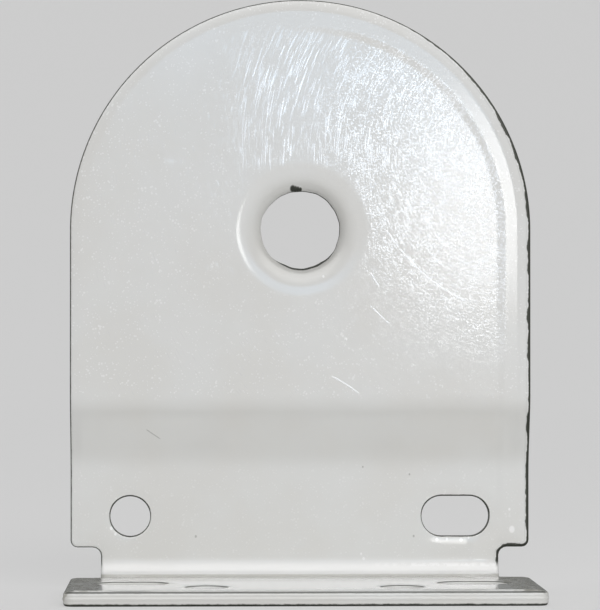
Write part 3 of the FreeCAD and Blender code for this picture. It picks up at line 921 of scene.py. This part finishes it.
def shaded_edges_and_grime(at):
    """Painted shade where rounded edges turn from the light, with some grime: dark lines on the plate's
    outline, wider on its right, a faint hairline inside the right edge, the flange's top edge, a painted
    contact shadow along the flange's foot, the holes' rims, and a real dark chip on the bore's lip.
    """
    ragged = at.noise(*RAGGED_EDGE)
    on_plate = 1 - at.below_fold
    wedges = at.noise(*EDGE_WEDGES).step(0.42, 0.62)
    reach = at.to_right * (0.14 + wedges * 0.20) + ragged * (0.16 + at.to_right * 0.16)
    outline = (at.edge_gap - reach).step(0.05, -0.05) * at.edge_gap.step(*OUTLINE_WALL) * on_plate
    hairline = at.edge_gap.step(*HAIRLINE_INSIDE) * at.edge_gap.step(*HAIRLINE_OUTSIDE)
    hairline = hairline * on_plate * at.to_right

    flange_top = at.edge_gap.step(*FLANGE_LINE_INSIDE)
    flange_top = flange_top * (at.edge_gap + ragged * 0.1).step(*FLANGE_LINE_OUTSIDE)
    flange_top = flange_top * at.depth.step(*FRONT_EDGE)
    flange_foot = (at.edge_gap - ragged * 0.3).step(*FLANGE_FOOT_LINE)
    flange = (flange_top * 0.8).larger(flange_foot) * at.below_fold

    over_slot = at.height.step(*OVER_SLOT_FOOT) * at.height.step(*OVER_SLOT_TOP)
    plate_rims = (at.rim_gap - ragged * 0.14 - over_slot * 0.1).step(0.04, -0.04)
    plate_rims = plate_rims * at.rim_gap.step(*RIM_WALL) * on_plate
    flange_rims = at.rim_gap.step(*FLANGE_RIM_OUTSIDE) * at.rim_gap.step(*FLANGE_RIM_INSIDE)
    flange_rims = flange_rims * at.below_fold

    chip = any_of([at.spot(*place) for place in LIP_CHIP])
    return any_of([outline, hairline * 0.1, flange, plate_rims, flange_rims, chip])


def relief(at, near):
    """Orange peel, a slow warp and a fine mottle where the plate is worn, in millimetres."""
    peel = at.noise(0.8, 2.0, 0.55)
    warp = at.noise(0.06, 1.0)
    mottle = at.noise(3.2, 2.0) * (0.1 + near) * at.front
    return peel * ORANGE_PEEL + warp * SLOW_WARP + mottle * FINE_MOTTLE


def white_enamel():
    material = bpy.data.materials.new("white_enamel")
    material.use_nodes = True
    tree = material.node_tree
    graph = Graph(tree)
    shader = tree.nodes["Principled BSDF"]
    at = Surface(graph)

    strokes, flecks, specks, near = wear(at)
    scratches = any_of([at.scratch(*line) for line in LONG_SCRATCHES]) * at.noise(1.6, 1.0).step(0.25, 0.45)
    spots = any_of([at.spot(*place) for place in GLINT_AND_CHIP_SPOTS])
    scratches_and_glints = any_of([strokes * 0.9, flecks * 0.75, scratches]) * at.front
    # Real scratches, specks and chips, with painted glints: strokes and flecks round the swirl, most white
    # spots, the fold's glint line
    scuffs_and_glints = any_of([scratches_and_glints, specks * at.front, spots * at.front, fold_glint(at)])
    fold_highlight = at.height.step(*FOLD_HIGHLIGHT_TOP) * at.height.step(*FOLD_HIGHLIGHT_FOOT)
    nicks = any_of([at.spot(*place) for place in DARK_SPECKS] + [at.scratch(*GREY_NICK)]) * at.front
    dark = shaded_edges_and_grime(at)
    steel = graph.mix(at.noise(5.0, 2.0).step(0.4, 0.62), BARE_STEEL, EDGE_SHADE_AND_GRIME)

    base = graph.mix(at.noise(*WARM_TONE).step(0.35, 0.65), ENAMEL, ENAMEL_WARM)
    # Painted highlight: the fold's band is mixed towards the brightest white
    base = graph.mix(fold_highlight * 0.6, base, ENAMEL_SCUFF_AND_HIGHLIGHT)
    # Painted shade darkens the step, dish, flange corner and front arris; blotchy darkening on the ears
    base = graph.mix(painted_shade_and_blotches(at), base, SHADE_AND_BLOTCH_TONE)
    base = graph.mix(scuffs_and_glints, base, ENAMEL_SCUFF_AND_HIGHLIGHT)
    base = graph.mix(nicks * 0.7, base, SPECK_GREY)
    # Painted shade along edges and rims, with some grime and a real chip on the bore's lip
    base = graph.mix(dark, base, EDGE_SHADE_AND_GRIME)
    base = graph.mix(at.bare, base, steel)
    metallic = (at.bare * 0.9).larger(scratches_and_glints * 0.32)
    rough = GLOSS_ROUGHNESS + near * 0.02 + scratches_and_glints * 0.15 + at.bare * 0.35 + dark * 0.3
    height = relief(at, near)
    bump = graph.node("Bump", {}, {"Strength": 1.0, "Distance": MM, "Height": height})

    tree.links.new(base.port, shader.inputs["Base Color"])
    tree.links.new(metallic.port, shader.inputs["Metallic"])
    tree.links.new(rough.port, shader.inputs["Roughness"])
    tree.links.new(bump.port, shader.inputs["Normal"])
    shader.inputs["IOR"].default_value = ENAMEL_IOR
    return material


def make_bracket():
    mesh = bracket_mesh()
    bracket = bpy.data.objects.new("enamelled_bracket", mesh)
    bpy.context.scene.collection.objects.link(bracket)
    mesh.materials.append(white_enamel())
    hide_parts("bracket")
    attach(bracket, "root")
    return bracket


# The studio
FLOOR_LEVEL = -HUB_HEIGHT
BACKDROP_RADIUS = 1900.0
BACKDROP_SWEEP = 700.0
BACKDROP_TOP = 2300.0
BACKDROP_CLOSES = 0.1
STAGE_SIDES = 96
FLOOR_RINGS = 8
SWEEP_RINGS = 12
STAGE_PAINT = colour(0.35, 0.35, 0.35)
BACKDROP_GLOW = colour(0.42, 0.42, 0.42)
FRONT_GLOW = colour(0.10, 0.10, 0.10)
GLOW_CHANGE = (-350.0, 20.0)


def stage_material():
    """Matt pale paint that glows evenly behind the bracket and less in front of it."""
    material = bpy.data.materials.new("pale_stage")
    material.use_nodes = True
    tree = material.node_tree
    graph = Graph(tree)
    shader = tree.nodes["Principled BSDF"]
    place = graph.node("TexCoord", {}, {}, 3)
    depth = graph.node("SeparateXYZ", {}, {0: place}, 1)
    behind = depth.step(GLOW_CHANGE[0] * MM, GLOW_CHANGE[1] * MM)
    glow = graph.mix(behind, FRONT_GLOW, BACKDROP_GLOW)
    tree.links.new(glow.port, shader.inputs["Emission Color"])
    shader.inputs["Base Color"].default_value = STAGE_PAINT
    shader.inputs["Roughness"].default_value = 0.9
    shader.inputs["Specular IOR Level"].default_value = 0.0
    shader.inputs["Emission Strength"].default_value = 1.0
    return material


def make_stage():
    """A pale round floor whose rim sweeps up into the backdrop."""
    profile = []
    for step in range(1, FLOOR_RINGS + 1):
        profile.append(((BACKDROP_RADIUS - BACKDROP_SWEEP) * step / FLOOR_RINGS, 0.0))
    for step in range(1, SWEEP_RINGS + 1):
        angle = math.pi / 2 * step / SWEEP_RINGS
        reach = BACKDROP_RADIUS - BACKDROP_SWEEP * (1 - math.sin(angle))
        profile.append((reach, BACKDROP_SWEEP * (1 - math.cos(angle))))
    profile.append((BACKDROP_RADIUS, BACKDROP_TOP))
    profile.append((BACKDROP_CLOSES, BACKDROP_TOP))
    points, faces = [Vector((0.0, 0.0, FLOOR_LEVEL)) * MM], []
    for reach, rise in profile:
        for side in range(STAGE_SIDES):
            angle = 2 * math.pi * side / STAGE_SIDES
            point = Vector((reach * math.cos(angle), reach * math.sin(angle), FLOOR_LEVEL + rise))
            points.append(point * MM)
    for side in range(STAGE_SIDES):
        faces.append((0, 1 + side, 1 + (side + 1) % STAGE_SIDES))
    for ring in range(len(profile) - 1):
        low = 1 + ring * STAGE_SIDES
        high = low + STAGE_SIDES
        for side in range(STAGE_SIDES):
            after = (side + 1) % STAGE_SIDES
            faces.append((low + side, high + side, high + after, low + after))
    mesh = bpy.data.meshes.new("stage")
    mesh.from_pydata(points, [], faces)
    for polygon in mesh.polygons:
        polygon.use_smooth = True
    mesh.materials.append(stage_material())
    stage = bpy.data.objects.new("stage", mesh)
    bpy.context.scene.collection.objects.link(stage)
    stage.visible_glossy = False


def aimed(item, place, target=(0.0, 0.0, 0.0)):
    item.location = Vector(place) * MM
    heading = (Vector(target) - Vector(place)).normalized()
    item.rotation_euler = heading.to_track_quat("-Z", "Y").to_euler()


# Soft light that the gloss doesn't mirror: name, place, size, watts
SOFT_LIGHTS = [
    ("near_right", (240, -380, 160), 200, 0.50),
    ("high_front", (100, -1150, 900), 700, 3.2),
    ("low_front", (-50, -1300, 230), 700, 1.9),
    ("left_fill", (-1200, -300, 200), 600, 1.0),
]

# Bright openings that only the gloss sees: degrees to the right of straight ahead, degrees
# up, half width, half height, softness, strength and colour
OPENINGS = [
    (4.85, 2.2, 1.15, 1.6, 0.5, 8.0, (1.0, 1.0, 0.985)),
    (4.6, 1.0, 2.7, 3.8, 0.8, 0.3, (0.97, 0.99, 1.0)),
    (3.2, 6.6, 6.0, 3.6, 0.6, 2.2, (0.40, 0.68, 1.0)),
    (0.0, 55.0, 50.0, 32.0, 0.6, 3.0, (1.0, 1.0, 0.99)),
]
ROOM_AHEAD = colour(0.72, 0.73, 0.725)
ROOM_BEHIND = colour(0.10, 0.105, 0.10)


def light_the_room():
    for name, place, size, power in SOFT_LIGHTS:
        data = bpy.data.lights.new(name, "AREA")
        data.size = size * MM
        data.energy = power
        lamp = bpy.data.objects.new(name, data)
        bpy.context.scene.collection.objects.link(lamp)
        aimed(lamp, place)
        lamp.visible_glossy = False
        lamp.visible_camera = False


def opening_mask(graph, heading, right, up, half_width, half_height, softness):
    """1 where a direction falls inside a soft oval opening of the room, else 0."""
    azimuth, elevation = math.radians(right), math.radians(up)
    ahead = Vector((math.sin(azimuth) * math.cos(elevation), -math.cos(azimuth) * math.cos(elevation),
                    math.sin(elevation)))
    aside = Vector((math.cos(azimuth), math.sin(azimuth), 0.0))
    above = aside.cross(ahead)
    above = above if above.z > 0 else -above
    depth = graph.vector("DOT_PRODUCT", heading, tuple(ahead), 1)
    x = graph.vector("DOT_PRODUCT", heading, tuple(aside), 1) / depth / math.tan(math.radians(half_width))
    y = graph.vector("DOT_PRODUCT", heading, tuple(above), 1) / depth / math.tan(math.radians(half_height))
    radius = (x * x + y * y) ** 0.5
    return radius.step(1 + softness, 1 - softness) * depth.step(0.0, 0.01)


def make_room():
    """The world is a dark room with soft bright openings; the stage hides it from view."""
    world = bpy.data.worlds.new("room")
    world.use_nodes = True
    bpy.context.scene.world = world
    world.cycles.sampling_method = "NONE"
    tree = world.node_tree
    graph = Graph(tree)
    heading = graph.node("TexCoord", {}, {}, 0)
    light = None
    for right, up, half_width, half_height, softness, strength, tint in OPENINGS:
        mask = opening_mask(graph, heading, right, up, half_width, half_height, softness) * strength
        glow = graph.vector("MULTIPLY", mask, tint)
        light = glow if light is None else graph.vector("ADD", light, glow)
    turned = graph.vector("DOT_PRODUCT", heading, (0.0, -1.0, 0.8), 1)
    room = graph.mix(turned.step(0.2, 0.7), ROOM_BEHIND, ROOM_AHEAD)
    light = graph.vector("ADD", light, room)
    tree.links.new(light.port, tree.nodes["Background"].inputs["Color"])


# The camera of the photograph
CAMERA_PLACE = (-12.0, -418.0, -12.02)
CAMERA_YAW = 1.641
CAMERA_PITCH = 0.427
CAMERA_LENS = 209.4
CAMERA_SENSOR = 36.0


def make_camera():
    data = bpy.data.cameras.new("camera")
    data.sensor_fit = "HORIZONTAL"
    data.sensor_width = CAMERA_SENSOR
    data.lens = CAMERA_LENS
    data.clip_start = 0.01
    data.clip_end = 20.0
    camera = bpy.data.objects.new("camera", data)
    bpy.context.scene.collection.objects.link(camera)
    camera.location = Vector(CAMERA_PLACE) * MM
    camera.rotation_euler = (math.radians(90 + CAMERA_PITCH), 0.0, math.radians(-CAMERA_YAW))
    bpy.context.scene.camera = camera


bracket = make_bracket()
make_stage()
light_the_room()
make_room()
make_camera()
bpy.context.scene.view_settings.view_transform = "Standard"
